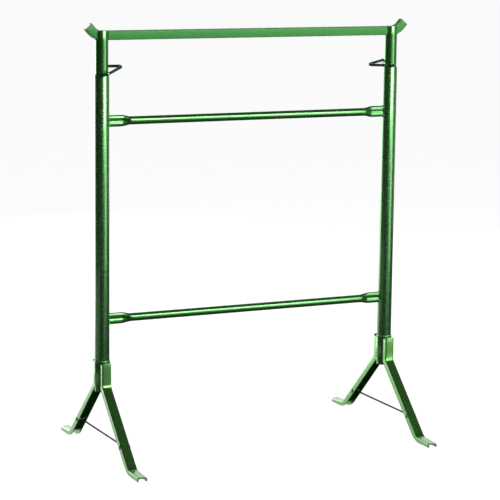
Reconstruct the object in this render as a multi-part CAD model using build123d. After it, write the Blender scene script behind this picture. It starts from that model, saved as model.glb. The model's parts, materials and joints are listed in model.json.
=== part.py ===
from build123d import *
import math
import os

# A steel trestle with a height-adjustable head and swivelling folding feet.
# Millimetres. +Z is up, X runs along the head beam and the origin is on the floor, mid-way
# between the two uprights.

# Lower frame
UPRIGHT_SPACING = 1050.0     # between the axes of the two uprights
UPRIGHT_OD = 48.3
UPRIGHT_WALL = 2.6
UPRIGHT_BOTTOM_Z = 215.0
RIM_Z = 1250.0               # top of the outer uprights
LOWER_BAR_Z = 453.0
UPPER_BAR_Z = 1099.0

# Crossbars: round tube with both ends pressed flat
BAR_OD = 26.9
BAR_WALL = 2.3
PRESSED_HEIGHT = 37.5
PRESSED_THICKNESS = 12.0
PRESSED_LENGTH = 42.0        # full-height part, measured from the upright's surface
PRESS_TAPER = 34.0           # from the round tube to the pressed part
PRESS_GROOVE_DEPTH = 2.6
PRESS_GROOVE_RADIUS = 15.0
DRAIN_HOLE_OD = 5.0

# Telescopic head
INNER_OD = 42.4
INNER_WALL = 2.6
INNER_BOTTOM_Z = 400.0
BEAM_HEIGHT = 30.0
BEAM_DEPTH = 20.0
BEAM_WALL = 3.0
BEAM_TOP_Z = 1388.0
HORN_BEND_RADIUS = 48.0
HORN_ANGLE = 48.0
HORN_STRAIGHT = 18.0
HOLE_PITCH = 100.0
HOLE_COUNT = 8

# Locking pins and their bails
PIN_OD = 12.0
PIN_HOLE_OD = 12.6
PIN_GAP = 0.3                # between the pin and the rim that it rests on
PIN_FRONT = 23.5
PIN_HEAD_OD = 17.0
PIN_HEAD_Y = (27.0, 48.0)
BAIL_OD = 9.5
BAIL_HOLE_OD = 9.66
BAIL_PIVOT_Y = 38.0
BAIL_RIVET_OD = 13.0
BAIL_RIVET_THICKNESS = 2.5
BAIL_RISE = 16.0             # of the back arm above the pin's axis
BAIL_RADII = [9.0, 8.0, 12.0]
BAIL_BENDS = {               # from the tip to the front end, as (distance inwards, y, rise above the pin)
    "left": [(74, 3, 18), (8, -38, -3), (-30, -24, -14)],
    "right": [(90, 3, 2), (4, -34, 0)],
}

# Swivelling feet: two bent channel legs on a sleeve round each upright
SLEEVE_OD = 54.0
SLEEVE_CLEARANCE = 0.3
SLEEVE_Z = (236.0, 311.0)
COLLAR_OD = 52.0
COLLAR_HEIGHT = 6.0
LEG_WIDTH = 32.0
LEG_WALL = 3.0
LEG_DEPTH = 22.0
LEG_HEAD_TOP_Z = 315.0
LEG_KINK_Z = 237.0
LEG_CORNER = (270.0, 17.5)   # where the sloping web meets the foot's web: (distance out, height)
TOE_REACH = 350.0
TOE_HEIGHT = 12.5
KINK_RADIUS = 24.0
CORNER_RADIUS = 30.0
HEEL_RADIUS = 75.0
HEAD_CORNER_RADIUS = 7.0
LEG_EDGE_RADIUS = 4.0

# Tie between the two legs of a foot
TIE_OD = 6.0
TIE_Z = 74.0
TIE_EYE_OD = 14.0
TIE_EYE_THICKNESS = 3.0
RIVET_OD = 8.0
RIVET_HOLE_OD = 8.3
RIVET_HEAD_OD = 14.0
RIVET_HEAD_HEIGHT = 3.0

UPRIGHT_R = UPRIGHT_OD / 2
HALF_SPACING = UPRIGHT_SPACING / 2
PIN_Z = RIM_Z + PIN_GAP + PIN_OD / 2
LEG_WEB_Y = math.sqrt((SLEEVE_OD / 2) ** 2 - (LEG_WIDTH / 2) ** 2) + LEG_DEPTH
SIDES = {"left": -1, "right": 1}
ENDS = {"front": -1, "back": 1}
LOW = (Align.CENTER, Align.CENTER, Align.MIN)


def post(diameter, z0, z1):
    """An upright cylinder on the Z axis."""
    return Pos(0, 0, z0) * Cylinder(diameter / 2, z1 - z0, align=LOW)


def tube(outer, inner, z0, z1):
    """An upright tube on the Z axis."""
    return post(outer, z0, z1) - post(inner, z0 - 1, z1 + 1)


def rod(diameter, start, end):
    """A round rod between two points."""
    a, b = Vector(*start), Vector(*end)
    return Plane(a, z_dir=b - a) * Cylinder(diameter / 2, (b - a).length, align=LOW)


def at_side(side, shape):
    """Moves a shape from the Z axis to one upright's axis."""
    return Pos(SIDES[side] * HALF_SPACING, 0, 0) * shape


# ---- lower frame ----

def upright():
    return tube(UPRIGHT_OD, UPRIGHT_OD - 2 * UPRIGHT_WALL, UPRIGHT_BOTTOM_Z, RIM_Z)


def stop_collar():
    z0 = SLEEVE_Z[1] + SLEEVE_CLEARANCE
    return tube(COLLAR_OD, UPRIGHT_OD, z0, z0 + COLLAR_HEIGHT)


def retaining_ring():
    z1 = SLEEVE_Z[0] - SLEEVE_CLEARANCE
    return tube(COLLAR_OD, UPRIGHT_OD, z1 - COLLAR_HEIGHT, z1)


def pressed_end():
    """One end of a crossbar, along +X, from the round tube to the pressed face on the upright."""
    x_flat = HALF_SPACING - UPRIGHT_R - PRESSED_LENGTH
    x_round = x_flat - PRESS_TAPER
    round_face = Plane((x_round, 0, 0), x_dir=(0, 1, 0), z_dir=(1, 0, 0)) * Circle(BAR_OD / 2)
    flat = SlotOverall(PRESSED_HEIGHT, PRESSED_THICKNESS, rotation=90)
    flat_face = Plane((x_flat, 0, 0), x_dir=(0, 1, 0), z_dir=(1, 0, 0)) * flat
    end = loft([round_face, flat_face]) + extrude(flat_face, HALF_SPACING - x_flat)
    offset = PRESSED_THICKNESS / 2 + PRESS_GROOVE_RADIUS - PRESS_GROOVE_DEPTH
    for y in (-offset, offset):
        start = (x_flat + 8, y, 0)
        end -= rod(2 * PRESS_GROOVE_RADIUS, start, (HALF_SPACING, y, 0))
        end -= Pos(*start) * Sphere(PRESS_GROOVE_RADIUS)
    return end - Pos(HALF_SPACING, 0, 0) * Cylinder(UPRIGHT_R, 4 * PRESSED_HEIGHT)


def crossbar(z):
    x_round = HALF_SPACING - UPRIGHT_R - PRESSED_LENGTH - PRESS_TAPER
    end = pressed_end()
    bar = rod(BAR_OD, (-x_round, 0, 0), (x_round, 0, 0)) + end + mirror(end, Plane.YZ)
    x_bore = x_round - BAR_WALL
    bar -= rod(BAR_OD - 2 * BAR_WALL, (-x_bore, 0, 0), (x_bore, 0, 0))
    for x in (-x_bore + DRAIN_HOLE_OD, x_bore - DRAIN_HOLE_OD):
        bar -= Pos(x, 0, -BAR_OD) * Cylinder(DRAIN_HOLE_OD / 2, BAR_OD, align=LOW)
    return Pos(0, 0, z) * bar


# ---- telescopic head ----

def head_beam():
    """A channel, open to the back, whose two ends turn up into horns."""
    z = BEAM_TOP_Z - BEAM_HEIGHT / 2
    angle = math.radians(HORN_ANGLE)
    tangent = HORN_BEND_RADIUS * math.tan(angle / 2)
    corner = HALF_SPACING + tangent
    run = tangent + HORN_STRAIGHT
    tip = (corner + run * math.cos(angle), z + run * math.sin(angle))
    points = [(-tip[0], 0, tip[1]), (-corner, 0, z), (corner, 0, z), (tip[0], 0, tip[1])]
    path = FilletPolyline(*points, radius=HORN_BEND_RADIUS)
    start = Plane(points[0], x_dir=(0, 1, 0), z_dir=path % 0)
    solid = sweep(start * Rectangle(BEAM_DEPTH, BEAM_HEIGHT), path)
    hollow = sweep(start * Rectangle(BEAM_DEPTH, BEAM_HEIGHT - 2 * BEAM_WALL), path)
    return solid - Pos(0, BEAM_WALL, 0) * hollow


def inner_tube():
    body = tube(INNER_OD, INNER_OD - 2 * INNER_WALL, INNER_BOTTOM_Z, BEAM_TOP_Z)
    slot = Box(2 * INNER_OD, BEAM_DEPTH, 2 * BEAM_HEIGHT)
    body -= Pos(0, 0, BEAM_TOP_Z) * slot
    for i in range(HOLE_COUNT):
        z = PIN_Z - i * HOLE_PITCH
        body -= rod(PIN_HOLE_OD, (0, -INNER_OD, z), (0, INNER_OD, z))
    return body


def locking_pin():
    """A round pin through the inner tube, with a bored head behind the tube for its bail."""
    pin = rod(PIN_OD, (0, -PIN_FRONT, PIN_Z), (0, PIN_HEAD_Y[0], PIN_Z))
    pin = chamfer(pin.edges().group_by(Axis.Y)[0], 1.5)
    head = rod(PIN_HEAD_OD, (0, PIN_HEAD_Y[0], PIN_Z), (0, PIN_HEAD_Y[1], PIN_Z))
    head = chamfer(head.edges().filter_by(GeomType.CIRCLE), 1.5)
    for z in (-PIN_HEAD_OD, PIN_HEAD_OD):
        flat = Pos(0, BAIL_PIVOT_Y, PIN_Z + z) * Box(PIN_HEAD_OD, PIN_HEAD_OD, PIN_HEAD_OD + 5)
        head -= Pos(0, 1.5, 0) * flat
    hole = Pos(0, BAIL_PIVOT_Y, 0) * post(BAIL_HOLE_OD, PIN_Z - PIN_HEAD_OD, PIN_Z + PIN_HEAD_OD)
    return pin + head - hole


def bail(side):
    """A bent rod that turns in the pin's head, passes the upright's inner side and ends in front.

    Each side's rod is bent a little differently; the left one hooks further round the tube.
    """
    inwards = -SIDES[side]
    low = -PIN_HEAD_OD / 2 - 1
    points = [
        (0, BAIL_PIVOT_Y, PIN_Z + low),
        (0, BAIL_PIVOT_Y, PIN_Z + BAIL_RISE),
        *((inwards * x, y, PIN_Z + z) for x, y, z in BAIL_BENDS[side]),
    ]
    path = FilletPolyline(*points, radius=BAIL_RADII[:len(points) - 2])
    wire = sweep(Plane(points[0], z_dir=path % 0) * Circle(BAIL_OD / 2), path)
    z = PIN_Z + low - BAIL_RIVET_THICKNESS
    rivet = Pos(0, BAIL_PIVOT_Y, 0) * post(BAIL_RIVET_OD, z, z + BAIL_RIVET_THICKNESS)
    return wire + rivet


# ---- swivelling feet ----

def offset_line(points, distance):
    """The corners of an open line moved sideways, to the left of its direction."""
    edges = []
    for (ya, za), (yb, zb) in zip(points, points[1:]):
        length = math.hypot(yb - ya, zb - za)
        ny, nz = -(zb - za) / length * distance, (yb - ya) / length * distance
        edges.append(((ya + ny, za + nz), (yb + ny, zb + nz)))
    moved = [edges[0][0]]
    moved += [crossing(a, b) for a, b in zip(edges, edges[1:])]
    return moved + [edges[-1][1]]


def crossing(first, second):
    """Where two lines, each given by two points, cross."""
    (y1, z1), (y2, z2) = first
    (y3, z3), (y4, z4) = second
    dy1, dz1, dy2, dz2 = y2 - y1, z2 - z1, y4 - y3, z4 - z3
    t = ((y3 - y1) * dz2 - (z3 - z1) * dy2) / (dy1 * dz2 - dz1 * dy2)
    return (y1 + t * dy1, z1 + t * dz1)


def web_line():
    """The web's outer face from the head's top to the toe, as (distance out, height)."""
    return [
        (LEG_WEB_Y, LEG_HEAD_TOP_Z),
        (LEG_WEB_Y, LEG_KINK_Z),
        LEG_CORNER,
        (TOE_REACH, TOE_HEIGHT),
    ]


def flange_line(depth):
    """The flanges' free edge from the head's top to the toe, flat on the floor from the heel."""
    top, kink, corner, _ = offset_line(web_line(), -depth)
    floor = ((0, 0), (TOE_REACH, 0))
    return [top, kink, crossing((kink, corner), floor), floor[1]]


def side_path(points, radii):
    return FilletPolyline(*[(0, y, z) for y, z in points], radius=radii)


def side_plate(web, free, web_radii, free_radii, width):
    """A plate between two side lines, across the leg's width, centred on X = 0."""
    outer, inner = side_path(web, web_radii), side_path(free, free_radii)
    ends = [Line(outer @ 0, inner @ 0), Line(outer @ 1, inner @ 1)]
    return extrude(make_face([outer, inner, *ends]), width / 2, both=True)


def bent_leg():
    """One leg, reaching out along +Y: a channel bent out below its head, with a turned-out toe."""
    web = web_line()
    free = flange_line(LEG_DEPTH)
    body = side_plate(web, free, [KINK_RADIUS, CORNER_RADIUS], [8, HEEL_RADIUS], LEG_WIDTH)
    body = fillet(body.edges().filter_by(Axis.Y).group_by(Axis.Z)[-1], HEAD_CORNER_RADIUS)
    outer = side_path(web, [KINK_RADIUS, CORNER_RADIUS])
    corners = [
        e for e in body.edges()
        if abs(abs(e.position_at(0.5).X) - LEG_WIDTH / 2) < 0.01
        and outer.distance_to(Vector(0, e.position_at(0.5).Y, e.position_at(0.5).Z)) < 0.01
    ]
    body = fillet(corners, LEG_EDGE_RADIUS)
    inside = offset_line(web, -LEG_WALL)
    inside = [(inside[0][0], inside[0][1] + 10), *inside[1:3], extend(inside[2], inside[3], 10)]
    radii = [KINK_RADIUS - LEG_WALL, CORNER_RADIUS + LEG_WALL]
    past = offset_line(free, -10)
    past = [(past[0][0], past[0][1] + 10), *past[1:3], (past[3][0] + 10, past[3][1])]
    pocket = side_plate(inside, past, radii, [8, HEEL_RADIUS], LEG_WIDTH - 2 * LEG_WALL)
    hole_y, hole_z = tie_anchor()
    hole = rod(RIVET_HOLE_OD, (-LEG_WIDTH, hole_y, hole_z), (LEG_WIDTH, hole_y, hole_z))
    return body - pocket - post(SLEEVE_OD, 0, 2 * LEG_HEAD_TOP_Z) - hole


def extend(a, b, distance):
    """The point that lies a distance past b on the line from a."""
    length = math.dist(a, b)
    return tuple(q + (q - p) / length * distance for p, q in zip(a, b))


def tie_anchor():
    """The tie rivet's axis on a leg reaching along +Y, mid-way down the flange."""
    middle = offset_line(web_line(), -LEG_DEPTH / 2)
    return crossing((middle[1], middle[2]), ((0, TIE_Z), (TOE_REACH, TIE_Z)))


def foot_sleeve():
    return tube(SLEEVE_OD, UPRIGHT_OD + 2 * SLEEVE_CLEARANCE, *SLEEVE_Z)


def facing(end, shape):
    """Turns a shape that reaches along +Y to the foot's front or back."""
    return shape if end == "back" else Rot(0, 0, 180) * shape


def tie():
    y, z = tie_anchor()
    reach = y - TIE_EYE_OD / 2 + 1
    link = rod(TIE_OD, (0, -reach, z), (0, reach, z))
    for end in (-y, y):
        link += rod(TIE_EYE_OD, (-TIE_EYE_THICKNESS / 2, end, z), (TIE_EYE_THICKNESS / 2, end, z))
    for end in (-y, y):
        link -= rod(RIVET_HOLE_OD, (-TIE_OD, end, z), (TIE_OD, end, z))
    return link


def tie_rivet():
    y, z = tie_anchor()
    half = LEG_WIDTH / 2
    rivet = rod(RIVET_OD, (-half, y, z), (half, y, z))
    for start, end in ((-half - RIVET_HEAD_HEIGHT, -half), (half, half + RIVET_HEAD_HEIGHT)):
        head = rod(RIVET_HEAD_OD, (start, y, z), (end, y, z))
        outer = head.edges().sort_by(Axis.X)[0 if start < 0 else -1]
        rivet += fillet(outer, RIVET_HEAD_HEIGHT - 0.5)
    return rivet


# ---- the sub-parts, one file each ----

def sub_parts():
    yield "upper_crossbar", crossbar(UPPER_BAR_Z)
    yield "lower_crossbar", crossbar(LOWER_BAR_Z)
    yield "head_beam", head_beam()
    for side in SIDES:
        yield f"{side}_upright", at_side(side, upright())
        yield f"{side}_stop_collar", at_side(side, stop_collar())
        yield f"{side}_retaining_ring", at_side(side, retaining_ring())
        yield f"{side}_inner_tube", at_side(side, inner_tube())
        yield f"{side}_locking_pin", at_side(side, locking_pin())
        yield f"{side}_pin_bail", at_side(side, bail(side))
        yield f"{side}_foot_sleeve", at_side(side, foot_sleeve())
        for end in ENDS:
            yield f"{side}_{end}_leg", at_side(side, facing(end, bent_leg()))
            yield f"{side}_{end}_tie_rivet", at_side(side, facing(end, tie_rivet()))
        yield f"{side}_tie", at_side(side, tie())


os.makedirs("parts", exist_ok=True)
for name, shape in sub_parts():
    export_step(shape, f"parts/{name}.step")
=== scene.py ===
"""The looks of a green folding trestle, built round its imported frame."""

import json
import logging
import math
from collections.abc import Callable, Iterator
from contextlib import contextmanager
from dataclasses import dataclass, field
from enum import Enum

import bmesh
import bpy
from mathutils import Matrix, Vector

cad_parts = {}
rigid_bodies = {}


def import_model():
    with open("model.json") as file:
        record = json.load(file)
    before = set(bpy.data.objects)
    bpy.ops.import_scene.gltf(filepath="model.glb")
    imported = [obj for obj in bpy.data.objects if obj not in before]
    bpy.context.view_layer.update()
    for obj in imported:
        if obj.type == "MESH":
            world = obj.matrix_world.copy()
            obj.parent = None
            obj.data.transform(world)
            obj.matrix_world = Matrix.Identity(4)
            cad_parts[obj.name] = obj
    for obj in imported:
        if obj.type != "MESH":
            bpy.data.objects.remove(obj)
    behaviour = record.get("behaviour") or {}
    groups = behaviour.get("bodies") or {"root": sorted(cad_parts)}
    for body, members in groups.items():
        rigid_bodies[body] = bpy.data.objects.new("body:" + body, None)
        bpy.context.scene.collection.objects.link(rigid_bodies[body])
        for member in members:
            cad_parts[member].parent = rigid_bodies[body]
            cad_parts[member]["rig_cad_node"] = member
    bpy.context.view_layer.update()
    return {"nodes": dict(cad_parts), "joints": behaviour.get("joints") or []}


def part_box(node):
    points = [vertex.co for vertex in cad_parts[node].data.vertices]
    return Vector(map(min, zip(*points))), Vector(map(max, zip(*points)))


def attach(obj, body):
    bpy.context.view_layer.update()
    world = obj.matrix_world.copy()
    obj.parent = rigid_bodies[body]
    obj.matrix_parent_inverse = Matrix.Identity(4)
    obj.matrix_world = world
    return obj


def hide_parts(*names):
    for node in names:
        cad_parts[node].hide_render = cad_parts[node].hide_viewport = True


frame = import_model()

log = logging.getLogger("trestle")

MM = 0.001
SIDES = {"left": -1, "right": 1}
ENDS = {"front": -1, "back": 1}


# ---------------- shader graphs


MIX_FIRST, MIX_SECOND, MIX_RESULT = 6, 7, 2    # the colour sockets of a Mix node


class Signal:
    """A shader socket that takes part in arithmetic, where each operator adds a Math node."""

    def __init__(self, graph: "Graph", socket: bpy.types.NodeSocket) -> None:
        """Wraps one output socket of a graph."""
        self.graph = graph
        self.socket = socket

    def __add__(self, other: "Signal | float") -> "Signal":
        """The sum of two values."""
        return self.graph.maths("ADD", self, other)

    def __sub__(self, other: "Signal | float") -> "Signal":
        """This value less the other."""
        return self.graph.maths("SUBTRACT", self, other)

    def __rsub__(self, other: float) -> "Signal":
        """A number less this value."""
        return self.graph.maths("SUBTRACT", other, self)

    def __mul__(self, other: "Signal | float") -> "Signal":
        """The product of two values."""
        return self.graph.maths("MULTIPLY", self, other)

    __radd__ = __add__
    __rmul__ = __mul__

    def at_least(self, floor: float) -> "Signal":
        """This value, or the floor where it is lower."""
        return self.graph.maths("MAXIMUM", self, floor)

    def ramp(self, low: float, high: float) -> "Signal":
        """A smooth step of this value.

        Args:
            low: The value at and below which the step is 0.
            high: The value at and above which the step is 1.

        Returns:
            The step, from 0 to 1.
        """
        settings = {"interpolation_type": "SMOOTHSTEP"}
        inputs = {"Value": self, "From Min": low, "From Max": high}
        return self.graph.node("ShaderNodeMapRange", settings, inputs)


class Graph:
    """The node tree of a material or a world, filled through one node-making method."""

    def __init__(self, owner: bpy.types.Material | bpy.types.World) -> None:
        """Empties the owner's node tree.

        Args:
            owner: The material or world that the tree belongs to.
        """
        owner.use_nodes = True
        self.owner = owner
        self.tree = owner.node_tree
        self.tree.nodes.clear()

    def node(
        self, kind: str, settings: dict | None = None, inputs: dict | None = None, out: int | str = 0
    ) -> Signal:
        """Adds a node.

        Args:
            kind: The node's type.
            settings: Properties of the node, set before its sockets.
            inputs: Values or signals for its input sockets, by name or number.
            out: The output socket that is wanted, by name or number.

        Returns:
            The wanted output.
        """
        node = self.tree.nodes.new(kind)
        for name, value in (settings or {}).items():
            setattr(node, name, value)
        for name, value in (inputs or {}).items():
            if isinstance(value, Signal):
                self.tree.links.new(value.socket, node.inputs[name])
            else:
                node.inputs[name].default_value = value
        return Signal(self, node.outputs[out]) if node.outputs else Signal(self, node.inputs[0])

    def maths(self, operation: str, a: Signal | float, b: Signal | float) -> Signal:
        """A Math node on two values."""
        return self.node("ShaderNodeMath", {"operation": operation}, {0: a, 1: b})

    def blend(self, share: Signal | float, first: Signal | tuple, second: Signal | tuple) -> Signal:
        """A mix of two colours, in which the second has a share from 0 to 1."""
        inputs = {"Factor": share, MIX_FIRST: first, MIX_SECOND: second}
        return self.node("ShaderNodeMix", {"data_type": "RGBA"}, inputs, MIX_RESULT)

    def place(self, scale: tuple[float, float, float] = (1, 1, 1)) -> Signal:
        """Object coordinates in metres, stretched by a Mapping node."""
        where = self.node("ShaderNodeTexCoord", out="Object")
        return self.node("ShaderNodeMapping", inputs={"Vector": where, "Scale": scale})

    def noise(
        self, scale: float, detail: float = 3, stretch: tuple[float, float, float] = (1, 1, 1)
    ) -> Signal:
        """Noise around 0.5, with so many features to a metre, made denser along the axes by a stretch."""
        inputs = {"Vector": self.place(stretch), "Scale": scale, "Detail": detail}
        return self.node("ShaderNodeTexNoise", {}, inputs)


# ---------------- finishes


@dataclass(frozen=True)
class Enamel:
    """Stoved gloss enamel: thick and slightly wavy, thin on edges, with fine scratches and dust."""

    name: str
    colour: tuple[float, float, float]
    thin_colour: tuple[float, float, float] = (0.30, 0.56, 0.30)
    scratch_colour: tuple[float, float, float] = (0.26, 0.47, 0.27)
    dust_colour: tuple[float, float, float] = (0.33, 0.36, 0.30)
    metallic: float = 0.88
    roughness: float = 0.3
    specular: float = 0.5
    coat: float = 1.0
    coat_roughness: float = 0.07
    shade_range: tuple[float, float] = (0.82, 1.18)
    thin_share: float = 0.55
    scuff_share: float = 0.35
    dust_share: float = 0.14
    peel_depth: float = 0.004 * MM
    sag_depth: float = 0.06 * MM

    def material(self) -> bpy.types.Material:
        """Builds the finish's material.

        Returns:
            The material, with object coordinates and the worn edges' attribute as its inputs.
        """
        graph = Graph(bpy.data.materials.new(self.name))
        cloud = graph.noise(7)
        mottle = graph.noise(90, 4)
        streak = graph.noise(45, 3, (1, 1, 0.08))
        scratch = graph.noise(900, 2, (1, 0.06, 0.05)).ramp(0.70, 0.76)
        scuffs = scratch * graph.noise(18).ramp(0.55, 0.7)
        edge = graph.node("ShaderNodeAttribute", {"attribute_name": EDGE_ATTRIBUTE}, out="Fac")
        thin = edge * (graph.noise(160, 5) + 0.25).ramp(0.62, 0.95)
        facing = graph.node("ShaderNodeNewGeometry", out="Normal")
        up = graph.node("ShaderNodeSeparateXYZ", inputs={0: facing}, out="Z").at_least(0)
        dust = up * graph.noise(240, 6).ramp(0.45, 0.75)
        shade = (cloud - 0.5) * 0.35 + (mottle - 0.5) * 0.2 + (streak - 0.5) * 0.25
        dark, light = ((*(c * k for c in self.colour), 1) for k in self.shade_range)
        colour = graph.blend(shade + 0.5, dark, light)
        colour = graph.blend(thin * self.thin_share, colour, (*self.thin_colour, 1))
        colour = graph.blend(scuffs * self.scuff_share, colour, (*self.scratch_colour, 1))
        colour = graph.blend(dust * self.dust_share, colour, (*self.dust_colour, 1))
        roughness = self.roughness + (mottle - 0.5) * 0.1 + thin * 0.15 + scuffs * 0.25 + dust * 0.18
        peel = graph.node(
            "ShaderNodeBump",
            inputs={"Height": graph.noise(420, 2), "Distance": self.peel_depth, "Strength": 0.5},
        )
        wave = graph.node(
            "ShaderNodeBump",
            inputs={"Height": streak, "Distance": self.sag_depth, "Strength": 0.35, "Normal": peel},
        )
        surface = graph.node(
            "ShaderNodeBsdfPrincipled",
            inputs={
                "Base Color": colour,
                "Roughness": roughness,
                "Metallic": self.metallic,
                "Specular IOR Level": self.specular,
                "Coat Weight": self.coat,
                "Coat Roughness": self.coat_roughness,
                "Normal": wave,
            },
        )
        graph.node("ShaderNodeOutputMaterial", inputs={"Surface": surface})
        return graph.owner


@dataclass(frozen=True)
class DarkSteel:
    """Drawn steel rod under a thin dark coat, with lengthwise drawing marks and light rust."""

    name: str
    colour: tuple[float, float, float] = (0.008, 0.014, 0.010)
    rust_colour: tuple[float, float, float] = (0.06, 0.03, 0.018)
    roughness: float = 0.55
    metallic: float = 0.15
    light_gain: float = 2.2
    rust_share: float = 0.5
    mark_depth: float = 0.05 * MM

    def material(self) -> bpy.types.Material:
        """Builds the finish's material.

        Returns:
            The material, with object coordinates as its input.
        """
        graph = Graph(bpy.data.materials.new(self.name))
        grain = graph.noise(1500, 2, (1, 0.03, 1))
        cloud = graph.noise(60, 4)
        rust = graph.noise(300, 5).ramp(0.60, 0.74)
        light = (*(c * self.light_gain for c in self.colour), 1)
        colour = graph.blend(grain * cloud, (*self.colour, 1), light)
        colour = graph.blend(rust * self.rust_share, colour, (*self.rust_colour, 1))
        bump = graph.node(
            "ShaderNodeBump",
            inputs={"Height": grain + rust, "Distance": self.mark_depth, "Strength": 0.5},
        )
        surface = graph.node(
            "ShaderNodeBsdfPrincipled",
            inputs={
                "Base Color": colour,
                "Roughness": self.roughness + (cloud - 0.5) * 0.2 + rust * 0.3,
                "Metallic": self.metallic - rust * 0.1,
                "Normal": bump,
            },
        )
        graph.node("ShaderNodeOutputMaterial", inputs={"Surface": surface})
        return graph.owner


class Finish(Enum):
    """The trestle's finishes, each with the record's slot that it stands for."""

    TUBE = ("painted_tube", Enamel("tube_enamel", (0.08, 0.325, 0.072)))
    BEAM = (
        "painted_channel",
        Enamel(
            "beam_enamel",
            (0.042, 0.31, 0.045),
            metallic=0.1,
            roughness=0.5,
            specular=0.3,
            coat=0.06,
        ),
    )
    CHANNEL = ("painted_channel", Enamel("channel_enamel", (0.105, 0.37, 0.066), roughness=0.28))
    PIN = ("pin_steel", Enamel("pin_enamel", (0.06, 0.27, 0.075), roughness=0.26))
    BAIL = ("bail_rod", Enamel("bail_enamel", (0.025, 0.11, 0.035), roughness=0.2))
    TIE = ("tie_rod", DarkSteel("tie_steel"))

    @property
    def slot(self) -> str:
        """The record's material slot."""
        return self.value[0]

    def dress(self, piece: bpy.types.Object) -> None:
        """Gives a piece this finish, making the material the first time.

        Args:
            piece: The object that is painted.
        """
        recipe = self.value[1]
        material = bpy.data.materials.get(recipe.name) or recipe.material()
        piece.data.materials.clear()
        piece.data.materials.append(material)
        "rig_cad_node" not in piece


# ---------------- the bench


EDGE_ATTRIBUTE = "edge_wear"
FLAT_TURN = 9.0        # degrees between two faces that still count as one surface
SHARP_TURN = 26.0      # degrees between two faces of a fully worn edge
SMOOTH_TURN = 35.0     # degrees up to which the shading runs on from face to face
EASE = 0.5 * MM        # the bevel along a cut edge of steel
NEAR = 0.05 * MM       # how far a vertex may be off its ring
TUBE_SIDES = 96
ROD_SIDES = 48
HOLE_SIDES = 32


class Primitive(Enum):
    """What a workpiece starts from."""

    CYLINDER = "primitive_cylinder_add"
    CUBE = "primitive_cube_add"
    GRID = "primitive_grid_add"


class Part(Enum):
    """What an edit-mode selection is made of."""

    VERTS = "VERT"
    FACES = "FACE"


class Workpiece:
    """One mesh on the bench: started as a primitive, shaped in edit mode, finished by modifiers."""

    def __init__(self, name: str, primitive: Primitive, **placing: object) -> None:
        """Adds the primitive at its size and place.

        Args:
            name: The piece's name.
            primitive: What it starts from.
            placing: The primitive operator's own arguments.
        """
        bpy.ops.object.select_all(action="DESELECT")
        getattr(bpy.ops.mesh, primitive.value)(**placing)
        self.piece = bpy.context.object
        self.piece.name = self.piece.data.name = name
        bpy.ops.object.transform_apply(location=True, rotation=True, scale=True)

    @contextmanager
    def editing(
        self, part: Part, test: Callable[[Vector, Vector], bool]
    ) -> Iterator[bmesh.types.BMesh]:
        """Edit mode with a selection.

        Args:
            part: Whether vertices or faces are selected.
            test: Says from an element's middle and normal whether it is selected.

        Yields:
            The mesh that is being edited.
        """
        bpy.ops.object.mode_set(mode="EDIT")
        bpy.ops.mesh.select_mode(type=part.value)
        bpy.ops.mesh.select_all(action="DESELECT")
        bm = bmesh.from_edit_mesh(self.piece.data)
        bm.normal_update()
        if part is Part.VERTS:
            for vert in bm.verts:
                vert.select = test(vert.co, vert.normal)
        else:
            for face in bm.faces:
                face.select = test(face.calc_center_median(), face.normal)
        bm.select_flush_mode()
        bmesh.update_edit_mesh(self.piece.data)
        yield bm
        bpy.ops.object.mode_set(mode="OBJECT")

    def ring_cuts(self, axis: Vector, places: list[float]) -> None:
        """Cuts rings of vertices round the piece.

        Args:
            axis: The direction that the rings are strung along.
            places: Where each ring is, from the origin along the axis.
        """
        for place in places:
            with self.editing(Part.VERTS, lambda at, normal: True):
                bpy.ops.mesh.select_all(action="SELECT")
                bpy.ops.mesh.bisect(plane_co=axis * place, plane_no=axis)

    def modify(self, kind: str, **settings: object) -> None:
        """Adds a modifier and applies it.

        Args:
            kind: The modifier's type.
            settings: Its properties.
        """
        modifier = self.piece.modifiers.new(kind, kind)
        for name, value in settings.items():
            setattr(modifier, name, value)
        bpy.context.view_layer.objects.active = self.piece
        bpy.ops.object.modifier_apply(modifier=modifier.name)

    def cut(self, *cutters: "Workpiece") -> None:
        """Cuts other workpieces out of this one, and throws them away.

        Args:
            cutters: The workpieces that are cut out.
        """
        for cutter in cutters:
            self.modify("BOOLEAN", operation="DIFFERENCE", object=cutter.piece, solver="EXACT")
            bpy.data.objects.remove(cutter.piece)

    def ease_edges(self, width: float, segments: int = 3, angle: float = 40) -> None:
        """Rounds the edges that turn sharply.

        Args:
            width: The width of the rounding.
            segments: How many faces there are across it.
            angle: The turn in degrees above which an edge is rounded.
        """
        self.modify(
            "BEVEL",
            width=width,
            segments=segments,
            limit_method="ANGLE",
            angle_limit=math.radians(angle),
            harden_normals=False,
        )

    def finish(self, finish: Finish, body: str, *nodes: str) -> bpy.types.Object:
        """Takes the piece off the bench and hands it over, as hand_over says."""
        return hand_over(self.piece, finish, body, *nodes)


def pick(piece: bpy.types.Object) -> None:
    """Makes an object the active one and the only one that is selected.

    Args:
        piece: The object.
    """
    bpy.ops.object.select_all(action="DESELECT")
    piece.select_set(True)
    bpy.context.view_layer.objects.active = piece


def hand_over(piece: bpy.types.Object, finish: Finish, body: str, *nodes: str) -> bpy.types.Object:
    """Smooths, marks worn edges, dresses and mounts a piece.

    Args:
        piece: The modelled object.
        finish: Its finish.
        body: The body that it moves with.
        nodes: The frame's nodes that it stands for.

    Returns:
        The same object.
    """
    pick(piece)
    bpy.ops.object.shade_smooth_by_angle(angle=math.radians(SMOOTH_TURN))
    mark_edges(piece)
    finish.dress(piece)
    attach(piece, body)
    if nodes:
        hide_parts(*nodes)
    log.info("%s: %d faces, rides on %s", piece.name, len(piece.data.polygons), body)
    return piece


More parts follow.
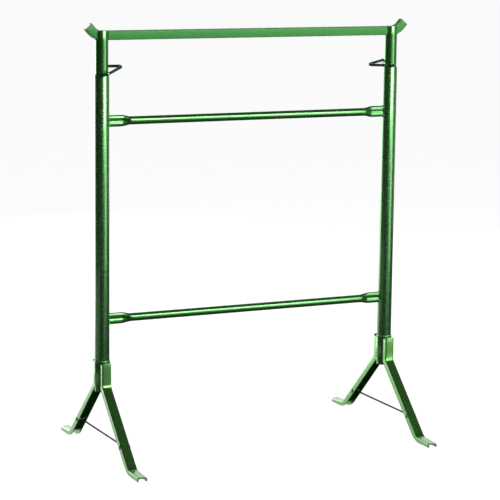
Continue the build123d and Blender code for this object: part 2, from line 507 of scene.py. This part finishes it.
def mark_edges(piece: bpy.types.Object) -> None:
    """Writes how sharply the surface turns at each vertex, for the wear of the paint there.

    Args:
        piece: The object that is marked.
    """
    mesh = bmesh.new()
    mesh.from_mesh(piece.data)
    turns = [
        max((math.degrees(e.calc_face_angle(0)) for e in vert.link_edges), default=0)
        for vert in mesh.verts
    ]
    mesh.free()
    wear = [min(max((t - FLAT_TURN) / (SHARP_TURN - FLAT_TURN), 0), 1) for t in turns]
    attribute = piece.data.attributes.new(EDGE_ATTRIBUTE, "FLOAT", "POINT")
    attribute.data.foreach_set("value", wear)


def copy_piece(piece: bpy.types.Object, name: str, move: Matrix) -> bpy.types.Object:
    """Copies a modelled object, with its own mesh.

    Args:
        piece: The object to copy.
        name: The copy's name.
        move: Where the copy goes, as a matrix that is applied to its mesh.

    Returns:
        The copy.
    """
    twin = piece.copy()
    twin.data = piece.data.copy()
    twin.name = twin.data.name = name
    twin.data.transform(move)
    if move.determinant() < 0:
        twin.data.flip_normals()
    bpy.context.scene.collection.objects.link(twin)
    return twin


def tube(name: str, outer: float, inner: float, low: float, high: float) -> Workpiece:
    """A round tube on the Z axis with eased rims.

    Args:
        name: The piece's name.
        outer: Its outer radius.
        inner: Its inner radius.
        low: The height of its lower end.
        high: The height of its upper end.

    Returns:
        The tube, still on the bench.
    """
    work = Workpiece(
        name,
        Primitive.CYLINDER,
        vertices=TUBE_SIDES,
        radius=outer,
        depth=high - low,
        end_fill_type="NOTHING",
        location=(0, 0, (low + high) / 2),
    )
    work.modify("SOLIDIFY", thickness=outer - inner, offset=-1, use_even_offset=True)
    work.ease_edges(min(EASE, (outer - inner) / 4), 2)
    return work


def rounded_path(corners: list[Vector], radii: tuple[float, ...], steps: int) -> list[Vector]:
    """Points along an open line, in a plane or in space, whose inner corners are rounded.

    Args:
        corners: The line's corners.
        radii: The radius of each inner corner.
        steps: How many steps each rounded corner has.

    Returns:
        The points, with each arc's ends among them.
    """
    points = [corners[0]]
    for before, here, after, radius in zip(corners, corners[1:], corners[2:], radii):
        arriving = (here - before).normalized()
        leaving = (after - here).normalized()
        turn = arriving.angle(leaving)
        start = here - arriving * radius * math.tan(turn / 2)
        side = (leaving - arriving * leaving.dot(arriving)).normalized()
        for step in range(steps + 1):
            angle = turn * step / steps
            along = arriving * radius * math.sin(angle)
            points.append(start + along + side * radius * (1 - math.cos(angle)))
    return [*points, corners[-1]]


def sweep(
    name: str,
    points: list[Vector],
    radius: float,
    roundness: int,
    swells: list[float] | None = None,
    closed: bool = False,
) -> bpy.types.Object:
    """A round bar along a line of points.

    Args:
        name: The object's name.
        points: The line that it follows.
        radius: Its radius.
        roundness: How finely its section is divided.
        swells: The share of the radius that it has at each point, where it isn't even.
        closed: Whether the line runs back to its start.

    Returns:
        The bar, as a mesh.
    """
    curve = bpy.data.curves.new(name, "CURVE")
    curve.dimensions = "3D"
    curve.bevel_depth = radius
    curve.bevel_resolution = roundness
    curve.use_fill_caps = not closed
    spline = curve.splines.new("POLY")
    spline.points.add(len(points) - 1)
    spline.use_cyclic_u = closed
    for target, at, swell in zip(spline.points, points, swells or [1.0] * len(points)):
        target.co = (*at, 1)
        target.radius = swell
    bar = bpy.data.objects.new(name, curve)
    bpy.context.scene.collection.objects.link(bar)
    pick(bar)
    bpy.ops.object.convert(target="MESH")
    return bpy.context.object


@dataclass
class WeldBead:
    """A run of weld: a half-sunk bead whose ripples follow its path."""

    name: str
    path: list[Vector]
    radius: float = 1.7 * MM
    ripple: float = 1.3 * MM
    closed: bool = False
    drift: float = 2.1
    unevenness: float = 0.12
    crest: float = 0.1
    end_share: float = 0.45

    def build(self, body: str) -> bpy.types.Object:
        """Lays the bead.

        Args:
            body: The body that it moves with.

        Returns:
            The finished object.
        """
        points = self._spaced()
        swells = [
            1 + math.sin(i * self.drift) * self.unevenness + (self.crest if i % 2 else -self.crest)
            for i in range(len(points))
        ]
        if not self.closed:
            swells[0] = swells[-1] = self.end_share
        bead = sweep(self.name, points, self.radius, 2, swells, self.closed)
        return hand_over(bead, Finish.CHANNEL, body)

    def _spaced(self) -> list[Vector]:
        """Divides the path into half ripples.

        Returns:
            The points that the bead runs through.
        """
        path = [*self.path, self.path[0]] if self.closed else self.path
        points = []
        for a, b in zip(path, path[1:]):
            count = max(1, round((b - a).length / (self.ripple / 2)))
            points += [a.lerp(b, i / count) for i in range(count)]
        return points if self.closed else [*points, path[-1]]


# ---------------- lower frame


@dataclass
class LowerFrame:
    """Two uprights, two crossbars pressed flat where they are welded on, and the feet's stops."""

    upright_wall: float = 2.6 * MM
    bar_radius: float = 13.45 * MM
    bar_wall: float = 2.3 * MM
    bar_overlap: float = 0.6 * MM
    pressed_height: float = 37.5 * MM
    pressed_thickness: float = 12 * MM
    pressed_length: float = 42 * MM
    press_taper: float = 34 * MM
    groove: float = 0.56
    groove_bands: tuple[tuple[float, float], ...] = ((0.62, 0.12), (0.42, 0.34), (0.22, 0.7))
    taper_rings: int = 9
    flat_rings: int = 6
    weld_steps: int = 32
    ring_weld_steps: int = 48
    ring_weld_radius: float = 1.2 * MM
    axis_x: float = field(init=False)
    radius: float = field(init=False)

    def __post_init__(self) -> None:
        """Reads the uprights' place and size from the frame."""
        low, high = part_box("right_upright")
        self.axis_x = (low.x + high.x) / 2
        self.radius = (high.x - low.x) / 2

    def build(self) -> None:
        """Builds every piece of the lower frame."""
        for side, sign in SIDES.items():
            self._round_part(f"{side}_upright", sign, self.radius - self.upright_wall)
            for ring in ("stop_collar", "retaining_ring"):
                self._round_part(f"{side}_{ring}", sign, self.radius)
            self._ring_weld(side, sign, "stop_collar", top=True)
            self._ring_weld(side, sign, "retaining_ring", top=False)
        for bar in ("upper_crossbar", "lower_crossbar"):
            self._crossbar(bar)
            for side, sign in SIDES.items():
                self._bar_weld(bar, side, sign)

    def _round_part(self, node: str, sign: int, inner: float) -> None:
        """Replaces a round node of the frame by a tube with eased rims.

        Args:
            node: The node's name.
            sign: The side that it is on.
            inner: The tube's inner radius.
        """
        low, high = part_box(node)
        work = tube(f"{node}_shell", (high.x - low.x) / 2, inner, low.z, high.z)
        work.piece.data.transform(Matrix.Translation((sign * self.axis_x, 0, 0)))
        work.finish(Finish.TUBE, "frame", node)

    def _ring_weld(self, side: str, sign: int, ring: str, top: bool) -> None:
        """Lays the weld between a ring and its upright.

        Args:
            side: The upright's side.
            sign: The same side as a sign.
            ring: The ring's name.
            top: Whether the weld is on the ring's upper rim.
        """
        low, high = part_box(f"{side}_{ring}")
        height = high.z if top else low.z
        turns = [2 * math.pi * i / self.ring_weld_steps for i in range(self.ring_weld_steps)]
        path = [
            Vector((sign * self.axis_x + self.radius * math.cos(t), self.radius * math.sin(t), height))
            for t in turns
        ]
        bead = WeldBead(f"{side}_{ring}_weld", path, radius=self.ring_weld_radius, closed=True)
        bead.build("frame")

    def _crossbar(self, node: str) -> None:
        """Shapes one crossbar: a round tube whose two ends are pressed flat and grooved.

        Args:
            node: The crossbar's node.
        """
        low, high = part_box(node)
        height = (low.z + high.z) / 2
        reach = self.axis_x - self.radius
        end = reach + self.bar_overlap
        work = Workpiece(
            f"{node}_tube",
            Primitive.CYLINDER,
            vertices=ROD_SIDES,
            radius=self.bar_radius,
            depth=2 * end,
            end_fill_type="NOTHING",
            location=(0, 0, 0),
            rotation=(0, math.pi / 2, 0),
        )
        flat = reach - self.pressed_length
        round_end = flat - self.press_taper
        count = self.taper_rings
        rings = [round_end + self.press_taper * i / count for i in range(count + 1)]
        count = self.flat_rings
        rings += [flat + self.pressed_length * i / count for i in range(1, count)]
        for sign in SIDES.values():
            work.ring_cuts(Vector((1, 0, 0)), [sign * x for x in rings])
            for x in [*rings, end]:
                self._press_ring(work, sign * x, min(max((x - round_end) / self.press_taper, 0), 1))
        work.piece.data.transform(Matrix.Translation((0, 0, height)))
        work.modify("SUBSURF", levels=1, render_levels=1)
        work.modify("SOLIDIFY", thickness=self.bar_wall, offset=-1, use_even_offset=True)
        work.finish(Finish.TUBE, "frame", node)

    def _press_ring(self, work: Workpiece, x: float, amount: float) -> None:
        """Presses one ring of a bar.

        Args:
            work: The bar.
            x: Where the ring is.
            amount: How far it is pressed, from 0, round, to 1, flat with its groove.
        """
        ease = amount * amount * (3 - 2 * amount)
        if ease == 0:
            return
        tall = 1 + (self.pressed_height / (2 * self.bar_radius) - 1) * ease
        thin = 1 + (self.pressed_thickness / (2 * self.bar_radius) - 1) * ease
        middle = (x, 0, 0)
        with work.editing(Part.VERTS, lambda at, normal: abs(at.x - x) < NEAR):
            bpy.ops.transform.resize(value=(1, thin, tall), center_override=middle)
        for share, squeeze in self.groove_bands:
            band = share * self.pressed_height / 2
            factor = 1 - self.groove * squeeze * ease
            with work.editing(
                Part.VERTS, lambda at, normal: abs(at.x - x) < NEAR and abs(at.z) < band
            ):
                bpy.ops.transform.resize(value=(1, factor, 1), center_override=middle)

    def _bar_weld(self, bar: str, side: str, sign: int) -> None:
        """Lays the weld round a crossbar's pressed end, on the upright's curved face.

        Args:
            bar: The crossbar's node.
            side: The upright's side.
            sign: The same side as a sign.
        """
        low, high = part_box(bar)
        height = (low.z + high.z) / 2
        straight = (self.pressed_height - self.pressed_thickness) / 2
        path = []
        for step in range(self.weld_steps):
            turn = 2 * math.pi * step / self.weld_steps
            y = self.pressed_thickness / 2 * math.cos(turn)
            z = self.pressed_thickness / 2 * math.sin(turn) + math.copysign(straight, math.sin(turn))
            x = self.axis_x - math.sqrt(self.radius**2 - y**2)
            path.append(Vector((sign * x, y, height + z)))
        WeldBead(f"{bar}_{side}_weld", path, closed=True).build("frame")


# ---------------- telescopic head


@dataclass
class Head:
    """The channel beam with its two horns, and the two inner tubes that carry it."""

    beam_wall: float = 3 * MM
    beam_corner: float = 3.5 * MM
    beam_height: float = 30 * MM
    horn_radius: float = 48 * MM
    horn_angle: float = math.radians(48)
    horn_straight: float = 18 * MM
    horn_steps: int = 10
    tube_wall: float = 2.6 * MM
    hole_radius: float = 6.3 * MM
    hole_pitch: float = 100 * MM
    hole_count: int = 8
    slot_margin: float = 1.5 * MM
    ring_margin: float = 1.4
    weld_radius: float = 1.4 * MM
    weld_start: float = 1 * MM
    weld_end: float = 4 * MM
    axis_x: float = field(init=False)

    def __post_init__(self) -> None:
        """Reads the tubes' place from the frame."""
        low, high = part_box("right_inner_tube")
        self.axis_x = (low.x + high.x) / 2

    def build(self) -> None:
        """Builds every piece of the head."""
        self._beam()
        for side, sign in SIDES.items():
            self._inner_tube(side, sign)
            self._beam_weld(side, sign)
            Finish.PIN.dress(frame["nodes"][f"{side}_locking_pin"])

    def _beam(self) -> None:
        """Shapes the beam from a bar: bends up its ends, opens its back and gives it its wall."""
        low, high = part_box("head_beam")
        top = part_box("right_inner_tube")[1].z
        middle = top - self.beam_height / 2
        depth = high.y - low.y
        work = Workpiece(
            "head_beam_channel",
            Primitive.CUBE,
            size=1,
            scale=(2 * self.axis_x, depth, self.beam_height),
            location=(0, 0, middle),
        )
        for sign in SIDES.values():
            centre = (sign * self.axis_x, 0, middle + self.horn_radius)
            with work.editing(Part.FACES, lambda at, normal: normal.x * sign > 0.9):
                bpy.ops.mesh.spin(
                    steps=self.horn_steps,
                    angle=sign * self.horn_angle,
                    center=centre,
                    axis=(0, 1, 0),
                )
                away = Vector((sign * math.cos(self.horn_angle), 0, math.sin(self.horn_angle)))
                bpy.ops.mesh.extrude_region_move(
                    TRANSFORM_OT_translate={"value": away * self.horn_straight}
                )
        with work.editing(Part.VERTS, lambda at, normal: True):
            bpy.ops.mesh.remove_doubles(threshold=0.01 * MM)
            bpy.ops.mesh.select_all(action="DESELECT")
            bpy.ops.mesh.select_interior_faces()
            bpy.ops.mesh.delete(type="FACE")
            bpy.ops.mesh.select_all(action="SELECT")
            bpy.ops.mesh.normals_make_consistent(inside=False)
        tip = self.axis_x + self.horn_radius * math.sin(self.horn_angle)

        def is_open(at: Vector, normal: Vector) -> bool:
            """Whether a face is in the channel's open back or at a horn's open end."""
            return normal.y > 0.9 or (abs(at.x) > tip and normal.z > 0.5 and at.x * normal.x > 0)

        with work.editing(Part.FACES, is_open):
            bpy.ops.mesh.delete(type="FACE")
        work.ease_edges(self.beam_corner, 4, 60)
        work.modify("SOLIDIFY", thickness=self.beam_wall, offset=-1, use_even_offset=True)
        work.ease_edges(EASE, 2)
        work.finish(Finish.BEAM, "head", "head_beam")

    def _inner_tube(self, side: str, sign: int) -> None:
        """Cuts one inner tube: a slot for the beam at its top and cross holes down its length.

        Args:
            side: The tube's side.
            sign: The same side as a sign.
        """
        node = f"{side}_inner_tube"
        low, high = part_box(node)
        radius = (high.x - low.x) / 2
        work = tube(f"{node}_shell", radius, radius - self.tube_wall, low.z, high.z)
        beam_low, beam_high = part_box("head_beam")
        slot_floor = high.z - self.beam_height
        pin_low, pin_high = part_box(f"{side}_locking_pin")
        pin = (pin_low.z + pin_high.z) / 2
        places = [slot_floor - self.slot_margin]
        holes = [pin - i * self.hole_pitch for i in range(self.hole_count)]
        for hole in holes:
            places += [hole + way * self.ring_margin * self.hole_radius for way in SIDES.values()]
        work.ring_cuts(Vector((0, 0, 1)), places)
        slot = Workpiece(
            "slot",
            Primitive.CUBE,
            size=1,
            scale=(4 * radius, beam_high.y - beam_low.y, 2 * self.beam_height),
            location=(0, 0, high.z),
        )
        drills = [
            Workpiece(
                "drill",
                Primitive.CYLINDER,
                vertices=HOLE_SIDES,
                radius=self.hole_radius,
                depth=4 * radius,
                location=(0, 0, hole),
                rotation=(math.pi / 2, 0, 0),
            )
            for hole in holes
        ]
        work.cut(slot, *drills)
        work.piece.data.transform(Matrix.Translation((sign * self.axis_x, 0, 0)))
        work.finish(Finish.TUBE, "head", node)

    def _beam_weld(self, side: str, sign: int) -> None:
        """Lays the upright welds between an inner tube's cheeks and the beam.

        Args:
            side: The tube's side.
            sign: The same side as a sign.
        """
        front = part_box("head_beam")[0].y
        low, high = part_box(f"{side}_inner_tube")
        radius = (high.x - low.x) / 2
        reach = math.sqrt(radius**2 - front**2)
        for name, way in SIDES.items():
            x = sign * self.axis_x + way * reach
            path = [
                Vector((x, front, high.z - self.beam_height + self.weld_start)),
                Vector((x, front, high.z - self.weld_end)),
            ]
            bead = WeldBead(f"{side}_tube_{name}_weld", path, radius=self.weld_radius)
            bead.build("head")


# Each bail's bends, from the back to its free end, as (distance inwards, y, rise above the pin) in mm
BAIL_BENDS = {
    "left": ((74, 3, 18), (8, -38, -3), (-30, -24, -14)),
    "right": ((90, 3, 2), (4, -34, 0)),
}


@dataclass
class Bail:
    """A bent rod that hangs in the pin's head and swings round the upright to lock the pin."""

    side: str
    bends: tuple[Vector, ...]
    rod_radius: float = 4.75 * MM
    back_rise: float = 16 * MM
    stub: float = 9.5 * MM
    rivet_radius: float = 6.5 * MM
    rivet_thickness: float = 2.5 * MM
    rivet_ease: float = 0.7 * MM
    bend_radii: tuple[float, ...] = (9 * MM, 8 * MM, 12 * MM)
    bend_steps: int = 8

    def build(self) -> None:
        """Bends the rod and adds the washer under the pin's head."""
        sign = SIDES[self.side]
        axis_x = sum(c.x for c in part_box(f"{self.side}_inner_tube")) / 2
        pin_low, pin_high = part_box(f"{self.side}_locking_pin")
        pin = (pin_low.z + pin_high.z) / 2
        joint = next(j for j in frame["joints"] if j["name"] == f"{self.side}_bail_swing")
        pivot_y = joint["pos_m"][1]
        corners = [
            Vector((axis_x, pivot_y, pin - self.stub)),
            Vector((axis_x, pivot_y, pin + self.back_rise)),
            *(Vector((axis_x - sign * b.x, b.y, pin + b.z)) for b in self.bends),
        ]
        points = rounded_path(corners, self.bend_radii, self.bend_steps)
        rod = sweep(f"{self.side}_bail_rod", points, self.rod_radius, 5)
        work = Workpiece(
            f"{self.side}_bail_rivet",
            Primitive.CYLINDER,
            vertices=ROD_SIDES,
            radius=self.rivet_radius,
            depth=self.rivet_thickness,
            location=(axis_x, pivot_y, pin - self.stub - self.rivet_thickness / 2),
        )
        work.ease_edges(self.rivet_ease)
        work.finish(Finish.PIN, f"{self.side}_bail")
        hand_over(rod, Finish.BAIL, f"{self.side}_bail", f"{self.side}_pin_bail")


# ---------------- swivelling feet


@dataclass
class Feet:
    """Two feet, each a sleeve with a pair of bent channel legs and a thin tie between them."""

    width: float = 32 * MM
    wall: float = 3 * MM
    depth: float = 22 * MM
    corner_radius: float = 4 * MM
    head_corner: float = 7 * MM
    kink_height: float = 237 * MM
    heel: tuple[float, float] = (270 * MM, 17.5 * MM)
    toe_height: float = 12.5 * MM
    kink_radius: float = 24 * MM
    bend_radius: float = 30 * MM
    free_kink_radius: float = 8 * MM
    heel_radius: float = 75 * MM
    clearance: float = 0.3 * MM
    sleeve_overlap: float = 0.2 * MM
    cutter_rise: float = 100 * MM
    probe_height: float = 280 * MM
    arc_steps: int = 10
    run_rows: tuple[int, ...] = (4, 10, 6)
    corner_steps: int = 5
    weld_radius: float = 1.6 * MM
    weld_start: float = 6 * MM
    weld_end: float = 8 * MM
    axis_x: float = field(init=False)
    sleeve_radius: float = field(init=False)
    web_y: float = field(init=False)
    head_top: float = field(init=False)
    toe: float = field(init=False)

    def __post_init__(self) -> None:
        """Reads the feet's place and size from the frame."""
        low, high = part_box("right_foot_sleeve")
        self.axis_x = (low.x + high.x) / 2
        self.sleeve_radius = (high.x - low.x) / 2
        low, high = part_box("right_back_leg")
        self.head_top = high.z
        self.toe = high.y
        self.web_y = math.sqrt(self.sleeve_radius**2 - (self.width / 2) ** 2) + self.depth

    def build(self) -> None:
        """Builds both feet."""
        leg = self._leg()
        for side, sign in SIDES.items():
            self._sleeve(side, sign)
            for end, way in ENDS.items():
                turn = Matrix.Rotation(0 if way > 0 else math.pi, 4, "Z")
                move = Matrix.Translation((sign * self.axis_x, 0, 0)) @ turn
                node = f"{side}_{end}_leg"
                twin = copy_piece(leg, f"{node}_channel", move)
                hand_over(twin, Finish.CHANNEL, f"{side}_foot", node)
                self._leg_weld(side, end, move)
                Finish.CHANNEL.dress(frame["nodes"][f"{side}_{end}_tie_rivet"])
            Finish.TIE.dress(frame["nodes"][f"{side}_tie"])
        bpy.data.objects.remove(leg)

    def _sleeve(self, side: str, sign: int) -> None:
        """Replaces one sleeve by a tube with eased rims.

        Args:
            side: The sleeve's side.
            sign: The same side as a sign.
        """
        node = f"{side}_foot_sleeve"
        upright_low, upright_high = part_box(f"{side}_upright")
        inner = (upright_high.x - upright_low.x) / 2 + self.clearance
        low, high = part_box(node)
        work = tube(f"{node}_shell", self.sleeve_radius, inner, low.z, high.z)
        work.piece.data.transform(Matrix.Translation((sign * self.axis_x, 0, 0)))
        work.finish(Finish.CHANNEL, f"{side}_foot", node)

    def _outlines(self) -> tuple[list[Vector], list[Vector]]:
        """Finds the corners of the leg's side view, as (distance out, height).

        Returns:
            The web's line and the flanges' free line, from the head's top to the toe.
        """
        kink = Vector((self.web_y, self.kink_height))
        heel = Vector(self.heel)
        web = [Vector((self.web_y, self.head_top)), kink, heel, Vector((self.toe, self.toe_height))]
        slope = (heel - kink).normalized()
        free_y = self.web_y - self.depth
        start = kink + Vector((slope.y, -slope.x)) * self.depth
        free_kink = start + slope * ((free_y - start.x) / slope.x)
        floor = start + slope * (-start.y / slope.y)
        free = [Vector((free_y, self.head_top)), free_kink, floor, Vector((self.toe, 0))]
        return web, free

    def _leg(self) -> bpy.types.Object:
        """Shapes one leg, reaching out along +Y from the Z axis.

        Returns:
            The leg, which the four real ones are copied from.
        """
        web, free = self._outlines()
        radii = (self.kink_radius, self.bend_radius)
        outer = self._rows(rounded_path(web, radii, self.arc_steps))
        radii = (self.free_kink_radius, self.heel_radius)
        inner = self._rows(rounded_path(free, radii, self.arc_steps))
        across = self._section()
        work = Workpiece(
            "leg_blank",
            Primitive.GRID,
            x_subdivisions=len(across) - 1,
            y_subdivisions=len(outer) - 1,
            size=1,
        )
        with work.editing(Part.VERTS, lambda at, normal: True) as bm:
            bm.verts.ensure_lookup_table()
            order = sorted(bm.verts, key=lambda v: (round(-v.co.y, 4), round(v.co.x, 4)))
            for index, vert in enumerate(order):
                row, column = divmod(index, len(across))
                vert.co = self._surface_point(outer[row], inner[row], across[column])
            bpy.ops.mesh.normals_make_consistent(inside=False)
            bm.normal_update()
            if min(bm.faces, key=self._off_probe).normal.y < 0:
                bpy.ops.mesh.flip_normals()
        work.modify("SOLIDIFY", thickness=self.wall, offset=-1, use_even_offset=True)
        cutter = Workpiece(
            "sleeve_space",
            Primitive.CYLINDER,
            vertices=TUBE_SIDES,
            radius=self.sleeve_radius - self.sleeve_overlap,
            depth=2 * (self.head_top + self.cutter_rise),
            location=(0, 0, self.cutter_rise),
        )
        work.cut(cutter)
        work.ease_edges(EASE, 2, 50)
        return work.piece

    def _off_probe(self, face: bmesh.types.BMFace) -> float:
        """How far a face is from the middle of the web's upright head."""
        at = face.calc_center_median()
        return abs(at.x) + abs(at.z - self.probe_height)

    def _rows(self, points: list[Vector]) -> list[Vector]:
        """Adds rows to the straight runs of a line, which has an arc between each two of them.

        Args:
            points: The line's points, with two arcs among them.

        Returns:
            The line with its runs divided.
        """
        splits = {run * (self.arc_steps + 1): count for run, count in enumerate(self.run_rows)}
        rows = []
        for index, (a, b) in enumerate(zip(points, points[1:])):
            count = splits.get(index, 1)
            rows += [a.lerp(b, i / count) for i in range(count)]
        return [*rows, points[-1]]

    def _section(self) -> list[tuple[float, float, float]]:
        """Draws the channel's section.

        Returns:
            Its columns, as (place across, depth below the web, share towards the free edge).
        """
        half = self.width / 2
        radius = self.corner_radius
        arc = []
        for step in range(self.corner_steps + 1):
            turn = math.pi / 2 * step / self.corner_steps
            across = half - radius + radius * math.sin(turn)
            arc.append((across, radius * (1 - math.cos(turn)), 0.0))
        flange = [(half, self.corner_radius, share) for share in (0.25, 0.5, 0.75, 1.0)]
        right = [(half / 3, 0.0, 0.0), *arc, *flange]
        left = [(-x, drop, share) for x, drop, share in reversed(right)]
        return [*left, (0.0, 0.0, 0.0), *right]

    def _surface_point(
        self, web: Vector, free: Vector, column: tuple[float, float, float]
    ) -> Vector:
        """A point on the leg's outside.

        Args:
            web: The row's point on the web, as (distance out, height).
            free: The row's point on the flanges' free edge.
            column: The place in the section, as _section gives it.

        Returns:
            The point, with the head's top corners rounded off.
        """
        x, drop, share = column
        corner = web + (free - web).normalized() * drop
        y, z = corner.lerp(free, share)
        over = abs(x) - (self.width / 2 - self.head_corner)
        if over > 0:
            rise = math.sqrt(max(self.head_corner**2 - over**2, 0))
            z = min(z, self.head_top - self.head_corner + rise)
        return Vector((x, y, z))

    def _leg_weld(self, side: str, end: str, move: Matrix) -> None:
        """Lays the two upright welds between a leg's flanges and the sleeve.

        Args:
            side: The foot's side.
            end: Whether the leg is the front or the back one.
            move: Where the leg goes, as for its mesh.
        """
        low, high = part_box(f"{side}_foot_sleeve")
        half = self.width / 2
        edge = math.sqrt(self.sleeve_radius**2 - half**2)
        for name, way in SIDES.items():
            path = [
                move @ Vector((way * half, edge, low.z + self.weld_start)),
                move @ Vector((way * half, edge, high.z - self.weld_end)),
            ]
            bead = WeldBead(f"{side}_{end}_leg_{name}_weld", path, radius=self.weld_radius)
            bead.build(f"{side}_foot")


# ---------------- studio


@dataclass
class Panel:
    """An upright soft light that stands round the trestle and faces its axis."""

    name: str
    bearing: tuple[float, float]
    heights: tuple[float, float]
    radiance: float
    distance: float = 4.5

    def build(self) -> None:
        """Stands the panel at its bearing, which is in degrees from the front towards the right."""
        first, last = (math.radians(b) for b in self.bearing)
        turn = (first + last) / 2
        width = 2 * self.distance * math.tan((last - first) / 2)
        low, high = self.heights
        away = Vector((math.sin(turn), -math.cos(turn), 0))
        light = bpy.data.lights.new(self.name, "AREA")
        light.shape = "RECTANGLE"
        light.size, light.size_y = width, high - low
        light.energy = self.radiance * math.pi * width * (high - low)
        lamp = bpy.data.objects.new(self.name, light)
        lamp.location = away * self.distance + Vector((0, 0, (low + high) / 2))
        lamp.rotation_euler = away.to_track_quat("Z", "Y").to_euler()
        lamp.visible_camera = False
        bpy.context.scene.collection.objects.link(lamp)


@dataclass
class Studio:
    """A pale floor, a plain room, soft panels and the camera."""

    eye: tuple[float, float, float] = (-2.843, -5.995, 1.776)
    yaw: float = 25.41
    pitch: float = 9.64
    roll: float = 0.67
    lens: float = 144.8
    sensor: float = 36.0
    room_light: float = 0.03
    floor_width: float = 120.0
    floor_colour: tuple[float, ...] = (0.2, 0.2, 0.2, 1)
    floor_glow: float = 0.95
    panels: tuple[Panel, ...] = (
        Panel("front_softbox", (2, 34), (1.75, 3.5), 11.0),
        Panel("side_softbox", (26, 50), (-0.6, 3.2), 2.1),
        Panel("right_wall", (80, 120), (0.0, 3.0), 0.35),
        Panel("back_wall", (130, 190), (0.2, 4.4), 1.1),
        Panel("left_wall", (-190, -135), (-0.8, 3.2), 2.4),
        Panel("low_left", (-190, -135), (-2.8, -0.8), 0.85),
        Panel("low_front", (6, 26), (-1.9, 0.3), 0.4),
        Panel("low_side", (-128, -60), (-2.0, -0.5), 0.3),
    )

    def build(self) -> None:
        """Sets up everything round the trestle."""
        self._camera()
        self._floor()
        self._room()
        for panel in self.panels:
            panel.build()
        bpy.context.scene.view_settings.view_transform = "Standard"

    def _camera(self) -> None:
        """Places the camera by its yaw, pitch and roll."""
        yaw, pitch, roll = (math.radians(a) for a in (self.yaw, self.pitch, self.roll))
        level = math.cos(pitch)
        ahead = Vector((math.sin(yaw) * level, math.cos(yaw) * level, -math.sin(pitch)))
        right = Vector((math.cos(yaw), -math.sin(yaw), 0))
        up = right.cross(ahead)
        across = right * math.cos(roll) + up * math.sin(roll)
        upward = up * math.cos(roll) - right * math.sin(roll)
        data = bpy.data.cameras.new("camera")
        data.lens = self.lens
        data.sensor_width = self.sensor
        camera = bpy.data.objects.new("camera", data)
        turn = Matrix((across, upward, -ahead)).transposed().to_4x4()
        camera.matrix_world = Matrix.Translation(self.eye) @ turn
        bpy.context.scene.collection.objects.link(camera)
        bpy.context.scene.camera = camera

    def _floor(self) -> None:
        """Lays the pale floor, which the gloss doesn't mirror."""
        grid = {"x_subdivisions": 2, "y_subdivisions": 2, "size": self.floor_width}
        work = Workpiece("floor", Primitive.GRID, **grid)
        graph = Graph(bpy.data.materials.new("pale_floor"))
        paper = graph.node(
            "ShaderNodeBsdfPrincipled",
            inputs={
                "Base Color": self.floor_colour,
                "Roughness": 0.9,
                "Emission Color": (1, 1, 1, 1),
                "Emission Strength": self.floor_glow,
            },
        )
        graph.node("ShaderNodeOutputMaterial", inputs={"Surface": paper})
        work.piece.data.materials.append(graph.owner)
        work.piece.visible_glossy = False
        work.piece.visible_diffuse = False
        work.piece.visible_shadow = False

    def _room(self) -> None:
        """Fills the room with a little even light behind a white background."""
        world = bpy.data.worlds.new("room")
        bpy.context.scene.world = world
        graph = Graph(world)
        seen = graph.node("ShaderNodeLightPath", out="Is Camera Ray")
        strength = seen * (1 - self.room_light) + self.room_light
        inputs = {"Color": (1, 1, 1, 1), "Strength": strength}
        backdrop = graph.node("ShaderNodeBackground", inputs=inputs)
        graph.node("ShaderNodeOutputWorld", inputs={"Surface": backdrop})


# ---------------- assembly


def main() -> None:
    """Builds the studio and the trestle."""
    logging.basicConfig(level=logging.INFO, format="%(name)s: %(message)s")
    Studio().build()
    LowerFrame().build()
    Head().build()
    for side, bends in BAIL_BENDS.items():
        Bail(side, tuple(Vector(b) * MM for b in bends)).build()
    Feet().build()


if __name__ == "__main__":
    main()
